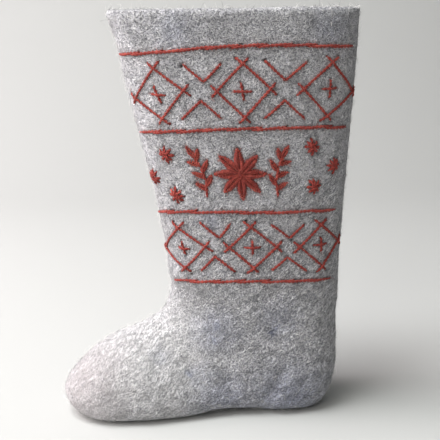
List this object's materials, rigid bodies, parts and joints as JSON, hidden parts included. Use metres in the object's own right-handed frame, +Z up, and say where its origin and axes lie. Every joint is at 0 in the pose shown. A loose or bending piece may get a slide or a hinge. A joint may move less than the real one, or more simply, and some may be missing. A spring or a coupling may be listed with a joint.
{
  "type": "felt boot",
  "caption": "Tall one-piece felted wool boot with a loose felt insole and bands of diamonds, stars and a flower embroidered in thick yarn on its outer side.",
  "frame": {"origin": "on the floor under the middle of the heel, where the sole rests", "axes": "+Z up the leg, +X towards the back of the heel so that the toe points to -X, -Y out of the embroidered outer side"},
  "size_m": [0.2785, 0.0978, 0.3827],
  "materials": {
    "grey_felt": "thick felted wool, heathered light grey with dark and white fibres",
    "insole_felt": "pressed pale felt sheet",
    "red_yarn": "two-ply red-orange wool yarn, matt"
  },
  "bodies": {
    "root": {"felted_upper_and_sole": "grey_felt", "insole": "insole_felt", "border_collar": "red_yarn", "border_calf": "red_yarn", "border_shin": "red_yarn", "border_ankle": "red_yarn", "upper_diamond_1": "red_yarn", "upper_diamond_2": "red_yarn", "upper_diamond_3": "red_yarn", "upper_plus_1": "red_yarn", "upper_plus_2": "red_yarn", "upper_plus_3": "red_yarn", "upper_hanging_chevron_1": "red_yarn", "upper_hanging_chevron_2": "red_yarn", "upper_standing_chevron_1": "red_yarn", "upper_standing_chevron_2": "red_yarn", "lower_diamond_1": "red_yarn", "lower_diamond_2": "red_yarn", "lower_diamond_3": "red_yarn", "lower_plus_1": "red_yarn", "lower_plus_2": "red_yarn", "lower_plus_3": "red_yarn", "lower_hanging_chevron_1": "red_yarn", "lower_hanging_chevron_2": "red_yarn", "lower_standing_chevron_1": "red_yarn", "lower_standing_chevron_2": "red_yarn", "star_1": "red_yarn", "star_2": "red_yarn", "star_3": "red_yarn", "star_4": "red_yarn", "star_5": "red_yarn", "star_6": "red_yarn", "flower": "red_yarn", "front_sprig": "red_yarn", "back_sprig": "red_yarn"}
  },
  "joints": []
}
